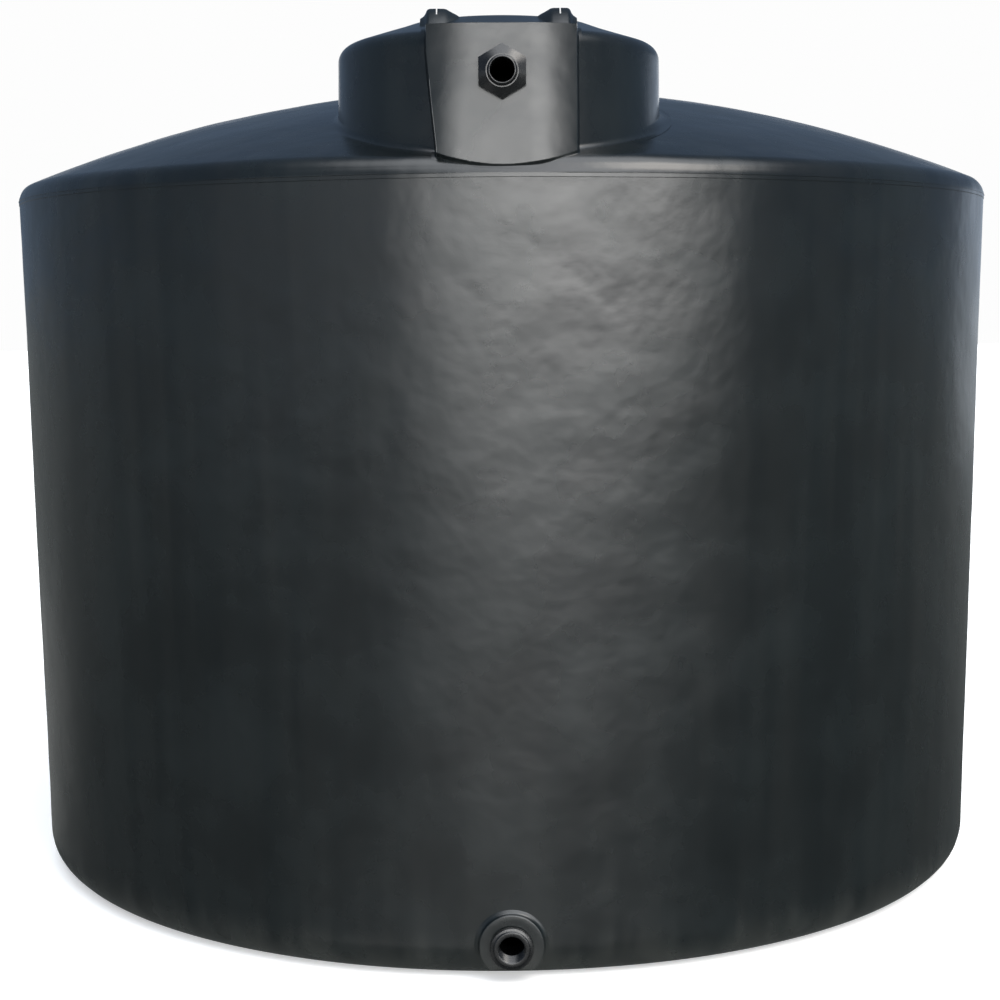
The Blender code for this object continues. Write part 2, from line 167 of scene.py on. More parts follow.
for compass, half, soft, lower, upper, brightness, tint in WINDOWS:
    turned_to = math.radians(compass)
    facing = add_node(tree, "VectorMath", {0: level, 1: (math.sin(turned_to), -math.cos(turned_to), 0.0)},
                      operation="DOT_PRODUCT").outputs["Value"]
    sides = add_node(tree, "MapRange", {"Value": facing,
                                        "From Min": math.cos(math.radians(half + soft)),
                                        "From Max": math.cos(math.radians(max(half - soft, 0.0)))},
                     interpolation_type="SMOOTHSTEP").outputs[0]
    above = add_node(tree, "MapRange", {"Value": height, "From Min": lower[0], "From Max": lower[1]},
                     interpolation_type="SMOOTHSTEP").outputs[0]
    below = add_node(tree, "MapRange", {"Value": height, "From Min": upper[0], "From Max": upper[1],
                                        "To Min": brightness, "To Max": 0.0},
                     interpolation_type="SMOOTHSTEP").outputs[0]
    amount = add_node(tree, "Math", {0: sides, 1: above}, operation="MULTIPLY").outputs[0]
    amount = add_node(tree, "Math", {0: amount, 1: below}, operation="MULTIPLY").outputs[0]
    glow = add_node(tree, "VectorMath", {0: linear(tint)[:3], "Scale": amount},
                    operation="SCALE").outputs[0]
    light = add_node(tree, "VectorMath", {0: light, 1: glow}, operation="ADD").outputs[0]
turned_to, raised = (math.radians(angle) for angle in GLOW_AT)
middle = (math.sin(turned_to) * math.cos(raised), -math.cos(turned_to) * math.cos(raised), math.sin(raised))
facing = add_node(tree, "VectorMath", {0: direction, 1: middle}, operation="DOT_PRODUCT").outputs["Value"]
amount = add_node(tree, "MapRange", {"Value": facing, "To Max": GLOW,
                                     "From Min": math.cos(math.radians(GLOW_HALF + GLOW_SOFT)),
                                     "From Max": math.cos(math.radians(GLOW_HALF - GLOW_SOFT))},
                  interpolation_type="SMOOTHSTEP").outputs[0]
glow = add_node(tree, "VectorMath", {0: linear(GLOW_COLOUR)[:3], "Scale": amount},
                operation="SCALE").outputs[0]
light = add_node(tree, "VectorMath", {0: light, 1: glow}, operation="ADD").outputs[0]
studio = add_node(tree, "Background", {"Color": light})
plain = add_node(tree, "Background", {"Color": BACKDROP})
seen = add_node(tree, "LightPath").outputs["Is Camera Ray"]
both = add_node(tree, "MixShader", {0: seen, 1: studio.outputs[0], 2: plain.outputs[0]})
add_node(tree, "OutputWorld", {"Surface": both.outputs[0]})

# A large soft lamp, high on the right in front, as the sun through haze.
KEY_FROM = (0.55, -0.60, 0.75)
KEY_ENERGY = 1.1
KEY_ANGLE = 26.0
KEY_COLOUR = "#fff6ea"
lamp_data = bpy.data.lights.new("soft_key", "SUN")
lamp_data.energy = KEY_ENERGY
lamp_data.angle = math.radians(KEY_ANGLE)
lamp_data.color = linear(KEY_COLOUR)[:3]
lamp = add_object("soft_key", lamp_data)
lamp.rotation_euler = Vector(KEY_FROM).to_track_quat("Z", "Y").to_euler()


# Tank shell
# The heel, wall, shoulder and domed roof are one hollow moulding of black polyethylene, turned slowly
# in a hot steel mould until the powder coats it. It shrinks as it cools, so the wall is never quite
# true: it waves by a millimetre or so, and the mould's parting line stands up round the shoulder.
PARTING_RISE = 0.0012
PARTING_FLASH = 0.0010
SHOULDER_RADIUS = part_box("wall_right")[1][0] - PARTING_RISE - PARTING_FLASH
BASE_RADIUS = 1.263
SHOULDER_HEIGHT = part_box("roof_back")[0][2]
SHELL_WALL = 0.008
HEEL_RADIUS = 0.087
SHOULDER_ROUND = 0.046
DOME_RADIUS = 3.257
SHELL_STEPS = 240
WALL_ROWS = 84
DOME_ROWS = 60
PARTING_BAND = 0.011
MANWAY_PLACE = (-0.004, -0.907)
MANWAY_RADIUS = 0.206
ON_AXIS = 0.00001

shoulder_centre = (SHOULDER_RADIUS - SHOULDER_ROUND, SHOULDER_HEIGHT)
heel_centre = (BASE_RADIUS - HEEL_RADIUS, HEEL_RADIUS)
dome_centre = SHOULDER_HEIGHT - math.sqrt((DOME_RADIUS - SHOULDER_ROUND) ** 2 - shoulder_centre[0] ** 2)
dome_edge = math.degrees(math.atan2(SHOULDER_HEIGHT - dome_centre, shoulder_centre[0]))


def arc(centre, radius, start, end, count):
    """Points of an arc in degrees, anticlockwise from +X when end is above start."""
    points = []
    for index in range(count + 1):
        angle = math.radians(start + (end - start) * index / count)
        points.append((centre[0] + radius * math.cos(angle), centre[1] + radius * math.sin(angle)))
    return points


def between(first, last, count):
    """Points that divide a straight line evenly, without its two ends."""
    return [(first[0] + (last[0] - first[0]) * i / count, first[1] + (last[1] - first[1]) * i / count)
            for i in range(1, count)]


def grid_mesh(name, rings, closed_section=True):
    """A mesh through rings of points. A ring of one point closes it there, and so does a flat end."""
    mesh = bpy.data.meshes.new(name)
    work = bmesh.new()
    made = [[work.verts.new(point) for point in ring] for ring in rings]
    for low, high in zip(made, made[1:] + (made[:1] if closed_section else [])):
        steps = max(len(low), len(high))
        for i in range(steps):
            j = (i + 1) % steps
            corners = [low[i % len(low)], low[j % len(low)], high[j % len(high)], high[i % len(high)]]
            corners = list(dict.fromkeys(corners))
            if len(corners) > 2:
                work.faces.new(corners)
    if not closed_section:
        for end in (made[0], made[-1]):
            if len(end) > 2:
                work.faces.new(end)
    bmesh.ops.recalc_face_normals(work, faces=work.faces)
    if work.calc_volume(signed=True) < 0:
        bmesh.ops.reverse_faces(work, faces=work.faces)
    work.to_mesh(mesh)
    work.free()
    return mesh


def turns(steps):
    """The angles of even steps round a circle."""
    return [math.tau * i / steps for i in range(steps)]


def turned_rings(section, steps, centre=(0.0, 0.0)):
    """Rings for a section turned about an upright axis."""
    rings = []
    for radius, level in section:
        if radius < ON_AXIS:
            rings.append([(centre[0], centre[1], level)])
        else:
            rings.append([(centre[0] + radius * math.cos(a), centre[1] + radius * math.sin(a), level)
                          for a in turns(steps)])
    return rings


def cut(piece, cutter_mesh, operation="DIFFERENCE"):
    """Cut a piece with a mesh, and keep only the result."""
    cutter = add_object("cutter", cutter_mesh)
    step = piece.modifiers.new("cut", "BOOLEAN")
    step.object = cutter
    step.operation = operation
    step.solver = "MANIFOLD"
    graph = bpy.context.evaluated_depsgraph_get()
    old = piece.data
    piece.data = bpy.data.meshes.new_from_object(piece.evaluated_get(graph))
    piece.modifiers.remove(step)
    bpy.data.meshes.remove(old)
    bpy.data.objects.remove(cutter)
    bpy.data.meshes.remove(cutter_mesh)


def front_cylinder(radius, side, height, near, far, steps=64):
    """A round cutter that looks to the front, between two distances from the tank's axis."""
    ring = [(side + radius * math.cos(a), height + radius * math.sin(a)) for a in turns(steps)]
    return grid_mesh("cutter", [[(x, -distance, z) for x, z in ring] for distance in (near, far)],
                     closed_section=False)


def smooth(piece, sharp_angle=38.0):
    """Shade a piece as smooth, but keep the edges that turn more than an angle crisp."""
    piece.data.shade_smooth()
    piece.data.set_sharp_from_angle(angle=math.radians(sharp_angle))


def add_piece(name, mesh, stuff, replaced):
    """One visible piece, with its material and the frame's nodes that it replaces."""
    piece = add_object(name, mesh)
    mesh.materials.append(stuff)
    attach(piece, "root")
    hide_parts(*replaced)
    return piece


# The waves' widths and depths in metres. Near the floor and the manway the moulding is true.
BROAD_WAVE, BROAD_DEPTH = 0.62, 0.0018
WAVE_ACROSS, WAVE_UP, WAVE_DEPTH = 0.24, 0.40, 0.0022
SMALL_WAVE, SMALL_DEPTH = 0.085, 0.0006
SHRINKAGE = 0.0018
TRUE_AT_FLOOR = 0.06
TRUE_AT_MANWAY = 0.04


def moulded_waves(place):
    """How far the cooled moulding has drawn in at a place, as a length of zero or less."""
    from_manway = math.hypot(place.x - MANWAY_PLACE[0], place.y - MANWAY_PLACE[1]) - MANWAY_RADIUS
    share = max(0.0, min(1.0, place.z / TRUE_AT_FLOOR, from_manway / TRUE_AT_MANWAY))
    stretched = Vector((place.x / WAVE_ACROSS, place.y / WAVE_ACROSS, place.z / WAVE_UP))
    broad = BROAD_DEPTH * noise.noise(place / BROAD_WAVE + Vector((3.1, 7.7, 1.9)))
    middle = WAVE_DEPTH * noise.noise(stretched + Vector((11.0, 2.0, 5.0)))
    small = SMALL_DEPTH * noise.noise(place / SMALL_WAVE + Vector((0.3, 4.2, 9.1)))
    return share * min(broad + middle + small - SHRINKAGE, 0.0)


def wave_mesh(mesh):
    """Move a mesh's points in or out along their normals, as far as the moulding waves there."""
    normals = [vertex.normal.copy() for vertex in mesh.vertices]
    for vertex, normal in zip(mesh.vertices, normals):
        vertex.co = vertex.co + normal * moulded_waves(vertex.co)


def shell_section():
    """From the heel up the outside to the dome's top, and back down the inside."""
    wall_top = (SHOULDER_RADIUS, SHOULDER_HEIGHT - PARTING_BAND)
    outer = arc(heel_centre, HEEL_RADIUS, -90, 0, 12)
    outer += between((BASE_RADIUS, HEEL_RADIUS), wall_top, WALL_ROWS) + [wall_top]
    band = SHOULDER_RADIUS + PARTING_RISE
    for level, radius in ((-0.9, band), (-0.2, band), (-0.12, band + PARTING_FLASH),
                          (0.02, band + PARTING_FLASH), (0.1, band), (0.7, band - PARTING_FLASH)):
        outer.append((radius, SHOULDER_HEIGHT + PARTING_BAND * level))
    shoulder = arc(shoulder_centre, SHOULDER_ROUND, 0, dome_edge, 14)
    outer += [point for point in shoulder if point[1] > SHOULDER_HEIGHT + PARTING_BAND]
    dome = arc((0.0, dome_centre), DOME_RADIUS, dome_edge, 90, DOME_ROWS)
    outer += dome[1:-1] + [(0.0, dome[-1][1])]
    inner_dome = arc((0.0, dome_centre), DOME_RADIUS - SHELL_WALL, 90, dome_edge, 16)
    inner = [(0.0, inner_dome[0][1])] + inner_dome[1:]
    inner += arc(shoulder_centre, SHOULDER_ROUND - SHELL_WALL, dome_edge, 0, 4)[1:]
    return outer + inner + arc(heel_centre, HEEL_RADIUS - SHELL_WALL, 0, -90, 4)


# A pattern's scale is the count of its spots in a metre: clouds are 200 mm wide, rain marks 70 mm wide
# and over a metre long, dents 90 mm and the skin's fine ripple 26 mm. Depths are in metres.
CLOUD_SCALE = 5.0
RUN_SCALE = (14.0, 14.0, 0.9)
DENT_SCALE, DENT_DEPTH = 11.0, 0.0016
RIPPLE_SCALE, RIPPLE_DEPTH = 38.0, 0.00022
DUST_COLOUR = "#6d6a64"
# A lighter band low on the heel: a painted reflection of the bright ground in front of the tank, together
# with rain-splashed dust. Its colour, how high it reaches with the runs' noise in metres, and its strongest
# share.
GROUND_SHEEN_AND_SPLASH_COLOUR = "#75766f"
GROUND_SHEEN_AND_SPLASH_REACH = 0.144
GROUND_SHEEN_AND_SPLASH_MOST = 0.075


def polyethylene(name, dark, pale, rough, dust):
    """Moulded black polyethylene. The powder or melt that freezes against the mould leaves a satin,
    waxy skin with a soft ripple, and carbon black that is slightly clouded. Rain leaves dust on it.
    Low on the heel a lighter band is painted in: a painted reflection of the bright ground in front, with
    splashed dust."""
    stuff = bpy.data.materials.new(name)
    stuff.use_nodes = True
    tree = stuff.node_tree
    shader = tree.nodes["Principled BSDF"]
    place = add_node(tree, "TexCoord").outputs["Object"]
    clouds = add_node(tree, "TexNoise", {"Vector": place, "Scale": CLOUD_SCALE, "Detail": 4.0,
                                        "Roughness": 0.55})
    stretched = add_node(tree, "Mapping", {"Vector": place, "Scale": RUN_SCALE})
    runs = add_node(tree, "TexNoise", {"Vector": stretched.outputs[0], "Scale": 1.0, "Detail": 5.0})
    cloudy = add_node(tree, "MapRange", {"Value": clouds.outputs["Fac"],
                                         "From Min": 0.35, "From Max": 0.70},
                      interpolation_type="SMOOTHSTEP").outputs[0]
    colour = add_node(tree, "Mix", {0: cloudy, 6: dark, 7: pale}, data_type="RGBA").outputs[2]
    dusty = add_node(tree, "MapRange", {"Value": runs.outputs["Fac"], "From Min": 0.42, "From Max": 0.78,
                                        "To Max": dust}).outputs[0]
    colour = add_node(tree, "Mix", {0: dusty, 6: colour, 7: DUST_COLOUR}, data_type="RGBA").outputs[2]
    # Painted reflection of the bright ground, with splashed dust: the colour turns lighter towards the floor,
    # up to a height that wanders with the runs.
    height = add_node(tree, "SeparateXYZ", {0: place}).outputs["Z"]
    ground_sheen_and_splash = add_node(tree, "Math", {0: runs.outputs["Fac"], 1: GROUND_SHEEN_AND_SPLASH_REACH},
                        operation="MULTIPLY").outputs[0]
    ground_sheen_and_splash = add_node(tree, "Math", {0: ground_sheen_and_splash, 1: height}, operation="SUBTRACT").outputs[0]
    ground_sheen_and_splash = add_node(tree, "MapRange", {"Value": ground_sheen_and_splash, "From Min": -0.05, "From Max": 0.08,
                                           "To Max": GROUND_SHEEN_AND_SPLASH_MOST}, interpolation_type="SMOOTHSTEP").outputs[0]
    colour = add_node(tree, "Mix", {0: ground_sheen_and_splash, 6: colour, 7: GROUND_SHEEN_AND_SPLASH_COLOUR}, data_type="RGBA").outputs[2]
    tree.links.new(colour, shader.inputs["Base Color"])
    gloss = add_node(tree, "MapRange", {"Value": clouds.outputs["Fac"], "From Min": 0.30, "From Max": 0.70,
                                        "To Min": rough[0], "To Max": rough[1]}).outputs[0]
    tree.links.new(gloss, shader.inputs["Roughness"])
    ripple = add_node(tree, "TexNoise", {"Vector": place, "Scale": RIPPLE_SCALE, "Detail": 3.0,
                                         "Roughness": 0.6})
    dents = add_node(tree, "TexNoise", {"Vector": place, "Scale": DENT_SCALE, "Detail": 2.0})
    relief = add_node(tree, "Bump", {"Height": dents.outputs["Fac"], "Distance": DENT_DEPTH})
    relief = add_node(tree, "Bump", {"Height": ripple.outputs["Fac"], "Distance": RIPPLE_DEPTH,
                                     "Normal": relief.outputs[0]})
    tree.links.new(relief.outputs[0], shader.inputs["Normal"])
    return stuff


shell_plastic = polyethylene("black_rotomoulded_polyethylene", "#090d0e", "#0d1213", (0.24, 0.30), 0.02)
wall_sides = ("front", "front_right", "right", "back_right", "back", "back_left", "left", "front_left")
quarters = ("front", "right", "back", "left")
mesh = grid_mesh("tank_shell", turned_rings(shell_section(), SHELL_STEPS))
wave_mesh(mesh)
shell = add_piece("tank_shell", mesh, shell_plastic,
                  [f"wall_{side}" for side in wall_sides] + [f"roof_{side}" for side in quarters])


# Tank floor
# The flat underside, moulded in one with the heel, on which the whole tank stands. It keeps its
# solid from the frame, and takes the shell's polyethylene.
def finish_node(node, stuff):
    """Give one of the frame's own solids its material."""
    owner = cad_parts[node]
    for slot in owner.material_slots:
        slot.material = stuff
    if not owner.material_slots:
        owner.data.materials.append(stuff)


finish_node("tank_floor", shell_plastic)


# Neck
# A squat round neck stands on the roof's front edge, with a soft fillet at its foot, a rounded upper
# edge and a sloping crown up to the manway. It is moulded with the shell, in the same polyethylene.
NECK_X, NECK_Y = MANWAY_PLACE
NECK_RADIUS = 0.364
NECK_DRAFT = 0.0012
NECK_TOP = 2.018
NECK_ROUND = 0.038
CROWN_SLOPE = 17.8
CROWN_RADIUS = MANWAY_RADIUS
FOOT_FILLET = 0.018
FILLET_NARROW = 0.003
FILLET_WIDENS = (14.0, 14.0)
TOE = 0.013
TOE_SUNK = 0.0012
CROWN_LIP = 0.004
NECK_STEPS = 160

round_centre = (NECK_RADIUS - NECK_ROUND, NECK_TOP)
slope_start = arc(round_centre, NECK_ROUND, 0, 90 - CROWN_SLOPE, 1)[-1]
crown_top = slope_start[1] + (slope_start[0] - CROWN_RADIUS) * math.tan(math.radians(CROWN_SLOPE))


def tank_top(x, y):
    """The height of the shell's outer face over a place, out to the shoulder's edge."""
    radius = math.hypot(x, y)
    if radius < DOME_RADIUS * math.cos(math.radians(dome_edge)):
        return dome_centre + math.sqrt(DOME_RADIUS ** 2 - radius ** 2)
    out = min(radius - shoulder_centre[0], SHOULDER_ROUND)
    return SHOULDER_HEIGHT + math.sqrt(SHOULDER_ROUND ** 2 - out ** 2)


def neck_section(angle):
    """The neck's section in one direction, from the fillet's toe up and over, and down inside."""
    way = (math.cos(angle), math.sin(angle))

    def ground(out):
        return tank_top(NECK_X + out * way[0], NECK_Y + out * way[1])

    from_front = math.degrees(math.acos(max(-1.0, min(1.0, -way[1]))))
    blend = max(0.0, min(1.0, (from_front - FILLET_WIDENS[0]) / FILLET_WIDENS[1]))
    fillet = FILLET_NARROW + (FOOT_FILLET - FILLET_NARROW) * blend * blend * (3 - 2 * blend)
    foot = NECK_RADIUS + NECK_DRAFT
    centre = foot + fillet
    slope = (ground(centre + 0.002) - ground(centre - 0.002)) / 0.004
    level = ground(centre) + fillet * math.hypot(1.0, slope)
    toe = 360.0 + math.degrees(math.atan2(-1.0, slope))
    curve = arc((centre, level), fillet, toe, 180.0, 9)
    out = curve[0][0]
    section = [(out + TOE, ground(out + TOE) - TOE_SUNK), (out + 0.005, ground(out + 0.005) - 0.0001)]
    section += curve + between((foot, level), (NECK_RADIUS, NECK_TOP), 9)
    section += arc(round_centre, NECK_ROUND, 0, 90 - CROWN_SLOPE, 10)
    lip = (CROWN_RADIUS + CROWN_LIP, crown_top - CROWN_LIP * math.tan(math.radians(CROWN_SLOPE)))
    section += between(slope_start, lip, 8) + [lip, (CROWN_RADIUS + 0.0012, crown_top - 0.0006)]
    section += [(CROWN_RADIUS + 0.0001, crown_top - 0.002), (CROWN_RADIUS + 0.0001, crown_top - SHELL_WALL)]
    inner_round = arc(round_centre, NECK_ROUND - SHELL_WALL, 90 - CROWN_SLOPE, 0, 4)
    return section + inner_round + [(NECK_RADIUS - SHELL_WALL, ground(NECK_RADIUS) - 0.014)]


angles = turns(NECK_STEPS)
sections = [neck_section(angle) for angle in angles]
rings = [[(NECK_X + section[k][0] * math.cos(a), NECK_Y + section[k][0] * math.sin(a), section[k][1])
          for a, section in zip(angles, sections)] for k in range(len(sections[0]))]
mesh = grid_mesh("neck", rings)
wave_mesh(mesh)
neck = add_piece("neck", mesh, shell_plastic,
                 [f"neck_wall_{side}" for side in quarters] + ["neck_crown"])


# Inlet pad
# A flat upright face on the neck's front, in line with the tank's wall, gives the inlet's nut a true
# seat. It is moulded with the neck: it falls away softly to both sides and ends there in a step.
PAD_X = 0.006
PAD_FACE = -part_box("inlet_pad")[0].y
# A pair of numbers is for the pad's lower and upper part, and changes over these heights.
PAD_CHANGE_FROM, PAD_CHANGE_OVER = 1.80, 0.20
PAD_LEFT = (0.146, 0.166)
PAD_RIGHT = 0.158
PAD_FLAT_LEFT = (0.092, 0.062)
PAD_FLAT_RIGHT = 0.055
PAD_ROLL_RADIUS = (0.23, 0.38)
PAD_FALL = 0.58
PAD_FALL_SOFT = 0.060
PAD_BOTTOM = 1.762
PAD_RISE = 0.030
PAD_TOP = 2.061
SIDE_EDGE, FOOT_EDGE, TOP_EDGE = 0.006, 0.009, 0.008
PAD_SUNK = 0.0012
PAD_BACK = 0.006
CROWD_STEP = 0.0012
CROWD_EDGE = 0.0088
PAD_COLUMNS = 66
PAD_LEVELS = [1.748 + 0.002 * i for i in range(27)] + [1.806 + 0.006 * i for i in range(39)]
PAD_LEVELS += [2.0365 + 0.0014 * i for i in range(22)]


def neck_radius_at(level):
    """The neck's outer radius at a height, over its rounded edge and the crown's slope too."""
    if level < NECK_TOP:
        return NECK_RADIUS
    if level < slope_start[1]:
        return round_centre[0] + math.sqrt(NECK_ROUND ** 2 - (level - NECK_TOP) ** 2)
    return slope_start[0] - (level - slope_start[1]) / math.tan(math.radians(CROWN_SLOPE))


def shell_radius_at(level):
    """The shell's outer radius at a height from the shoulder up."""
    if level < SHOULDER_HEIGHT:
        return SHOULDER_RADIUS
    if level < SHOULDER_HEIGHT + SHOULDER_ROUND * math.sin(math.radians(dome_edge)):
        return shoulder_centre[0] + math.sqrt(SHOULDER_ROUND ** 2 - (level - SHOULDER_HEIGHT) ** 2)
    return math.sqrt(max(DOME_RADIUS ** 2 - (level - dome_centre) ** 2, 0.0))


def behind_pad(x, z):
    """How far to the front the neck or the shoulder stands at a place, under the pad."""
    neck_at = -NECK_Y + math.sqrt(max(neck_radius_at(z) ** 2 - (x - NECK_X) ** 2, 0.0))
    return max(neck_at, math.sqrt(max(shell_radius_at(z) ** 2 - x ** 2, 0.0)))


def inside(distance, width):
    """0 outside an edge and 1 inside it, with a smooth S of this width across it."""
    share = max(0.0, min(1.0, distance / width + 0.5))
    return share * share * (3 - 2 * share)


def at_level(values, z):
    """A value that goes from one number in the pad's lower part to another in its upper part."""
    share = max(0.0, min(1.0, (z - PAD_CHANGE_FROM) / PAD_CHANGE_OVER))
    return values[0] + (values[1] - values[0]) * share


def pad_front(x, z):
    """The pad is flat round the inlet and falls away slowly towards both its sides."""
    past_right = max(0.0, x - PAD_X - PAD_FLAT_RIGHT)
    past_left = max(0.0, PAD_X - at_level(PAD_FLAT_LEFT, z) - x)
    fall = PAD_FALL * (math.sqrt(past_right ** 2 + PAD_FALL_SOFT ** 2) - PAD_FALL_SOFT)
    return PAD_FACE - fall - past_left ** 2 / (2 * at_level(PAD_ROLL_RADIUS, z))


def pad_share(x, z):
    """How much of the pad's full height stands at a place."""
    across = min(abs(x - PAD_X), PAD_RIGHT)
    foot_radius = (PAD_RIGHT ** 2 + PAD_RISE ** 2) / (2 * PAD_RISE)
    foot = PAD_BOTTOM + foot_radius - math.sqrt(foot_radius ** 2 - across ** 2)
    return (inside(x - PAD_X + at_level(PAD_LEFT, z), SIDE_EDGE) * inside(PAD_X + PAD_RIGHT - x, SIDE_EDGE)
            * inside(z - foot, FOOT_EDGE) * inside(PAD_TOP - z, TOP_EDGE))


def pad_columns(z):
    """The places across the pad at one level, crowded at its two sides."""
    left, right = PAD_X - at_level(PAD_LEFT, z), PAD_X + PAD_RIGHT
    crowd = [CROWD_STEP * i for i in range(-6, 7)]
    middle = [left + CROWD_EDGE + (right - left - 2 * CROWD_EDGE) * i / PAD_COLUMNS
              for i in range(PAD_COLUMNS + 1)]
    return [left + step for step in crowd] + middle + [right + step for step in crowd]


rings = []
for z in PAD_LEVELS:
    across = pad_columns(z)
    lows = [behind_pad(x, z) for x in across]
    rises = [(pad_front(x, z) - low + PAD_SUNK) * pad_share(x, z) for x, low in zip(across, lows)]
    front = [(x, PAD_SUNK - low - rise, z) for x, low, rise in zip(across, lows, rises)]
    rings.append(front + [(x, PAD_BACK - low, z) for x, low in zip(across, lows)][::-1])
mesh = grid_mesh("inlet_pad_skin", rings, closed_section=False)
wave_mesh(mesh)
pad = add_piece("inlet_pad_skin", mesh, shell_plastic, ["inlet_pad"])

INLET_X = 0.003
INLET_Z = 1.955
INLET_BARREL = 0.0305
INLET_CUT = (1.15, 1.40)
HOLE_PLAY = 0.0003
for piece in (neck, pad):
    cut(piece, front_cylinder(INLET_BARREL + HOLE_PLAY, INLET_X, INLET_Z, *INLET_CUT))
    smooth(piece)


# Manway
# A rim, moulded with the neck, lines the crown's mouth, and a low lid lies on a rubber seal on its
# ledge. The lid is injection moulded in black polyethylene, with ribs to grip and a raised middle.
RIM_WALL = 0.014
RIM_LIP = 0.003
LID_RADIUS = 0.2005
LID_DISC = 0.100
LID_RISE = 0.015
LID_SHEET = 0.004
LID_SKIRT = 0.188
LID_SKIRT_WALL = 0.008
LID_CONE = 0.184
LID_RIBS = 16
# A rib's distance from the lid's middle, its half width and its rise over the lid, along its length.
LID_RIB = ((0.106, 0.0025, 0.0), (0.110, 0.0042, 0.0004), (0.150, 0.0042, 0.0042),
           (0.166, 0.0042, 0.0046), (0.172, 0.0036, 0.0032), (0.176, 0.0022, 0.0))
RIB_SUNK = 0.002
MANWAY_STEPS = 160
VENT_STEPS = 64

# Injection moulding against a blasted steel mould leaves the lid duller than the tank, and it lies
# flat, so it holds more dust.
lid_plastic = polyethylene("black_injection_moulded_polyethylene", "#0d0e10", "#111314", (0.36, 0.44),
                           0.05)
rim_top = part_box("manway_rim")[1][2]
rim_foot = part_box("manway_rim")[0][2]
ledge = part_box("lid_gasket")[0][2]
rim_outer = CROWN_RADIUS - HOLE_PLAY
rim_inner = CROWN_RADIUS - RIM_WALL
rim_section = [(rim_inner, rim_foot), (rim_outer, rim_foot), (rim_outer, rim_top - 0.0008),
               (rim_outer - 0.0006, rim_top), (rim_outer - RIM_LIP + 0.0008, rim_top),
               (rim_outer - RIM_LIP, rim_top - 0.0008), (rim_outer - RIM_LIP, ledge),
               (rim_inner + 0.001, ledge), (rim_inner, ledge - 0.001)]
mesh = grid_mesh("manway_rim_skin", turned_rings(rim_section, MANWAY_STEPS, MANWAY_PLACE))
smooth(add_piece("manway_rim_skin", mesh, shell_plastic, ["manway_rim"]))


def join_meshes(name, meshes):
    """One mesh of several, which are removed."""
    work = bmesh.new()
    for mesh in meshes:
        work.from_mesh(mesh)
        bpy.data.meshes.remove(mesh)
    joined = bpy.data.meshes.new(name)
    work.to_mesh(joined)
    work.free()
    return joined


lid_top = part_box("manway_lid")[1][2]
skirt_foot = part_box("manway_lid")[0][2]
edge_top = lid_top - LID_RISE
sheet_foot = edge_top - LID_SHEET
lid_section = [(0.0, sheet_foot), (LID_SKIRT - LID_SKIRT_WALL, sheet_foot),
               (LID_SKIRT - LID_SKIRT_WALL, skirt_foot), (LID_SKIRT, skirt_foot), (LID_SKIRT, sheet_foot),
               (LID_RADIUS - 0.001, sheet_foot), (LID_RADIUS, sheet_foot + 0.001),
               (LID_RADIUS, edge_top - 0.0015), (LID_RADIUS - 0.0006, edge_top - 0.0004),
               (LID_RADIUS - 0.002, edge_top), (LID_CONE + 0.004, edge_top), (LID_CONE, edge_top + 0.0005),
               (LID_CONE - 0.006, edge_top + 0.0016), (LID_DISC + 0.005, lid_top - 0.0012),
               (LID_DISC + 0.002, lid_top - 0.0003), (LID_DISC - 0.002, lid_top), (0.088, lid_top),
               (0.085, lid_top - 0.0008), (0.082, lid_top - 0.002), (0.044, lid_top - 0.002),
               (0.041, lid_top - 0.0008), (0.038, lid_top), (0.0, lid_top)]
parts = [grid_mesh("lid_sheet", turned_rings(lid_section, MANWAY_STEPS, MANWAY_PLACE),
                   closed_section=False)]
for index in range(LID_RIBS):
    turned_to = math.tau * (index + 0.5) / LID_RIBS
    ahead = Vector((math.cos(turned_to), math.sin(turned_to), 0.0))
    aside = Vector((-ahead.y, ahead.x, 0.0))
    rings = []
    for along, half, rise in LID_RIB:
        cone = lid_top + (edge_top - lid_top) * (along - LID_DISC) / (LID_CONE - LID_DISC)
        middle = Vector((NECK_X, NECK_Y, 0.0)) + ahead * along
        outline = ((-1.0, -RIB_SUNK), (1.0, -RIB_SUNK), (1.0, rise * 0.7), (0.7, rise), (-0.7, rise),
                   (-1.0, rise * 0.7))
        rings.append([middle + aside * half * across + Vector((0.0, 0.0, cone + up))
                      for across, up in outline])
    parts.append(grid_mesh("lid_rib", rings, closed_section=False))
mesh = join_meshes("manway_lid_skin", parts)
smooth(add_piece("manway_lid_skin", mesh, lid_plastic, ["manway_lid"]), 30.0)


# Lid seal and vent cap
# The lid's seal and the seals of both fittings are matt black rubber rings. The vent is a small
# mushroom cap of black polypropylene, clipped into the lid's middle, that lets air in under its edge.
GRAIN_SCALE, GRAIN_DEPTH = 260.0, 0.00004


def plain_moulding(name, colour, rough):
    """A one-colour moulded surface, with the faint grain, 4 mm wide, that its mould leaves."""
    stuff = bpy.data.materials.new(name)
    stuff.use_nodes = True
    tree = stuff.node_tree
    shader = tree.nodes["Principled BSDF"]
    shader.inputs["Base Color"].default_value = linear(colour)
    place = add_node(tree, "TexCoord").outputs["Object"]
    grain = add_node(tree, "TexNoise", {"Vector": place, "Scale": GRAIN_SCALE, "Detail": 3.0}).outputs["Fac"]
    gloss = add_node(tree, "MapRange", {"Value": grain, "From Min": 0.3, "From Max": 0.7,
                                        "To Min": rough[0], "To Max": rough[1]}).outputs[0]
    tree.links.new(gloss, shader.inputs["Roughness"])
    relief = add_node(tree, "Bump", {"Height": grain, "Distance": GRAIN_DEPTH}).outputs[0]
    tree.links.new(relief, shader.inputs["Normal"])
    return stuff


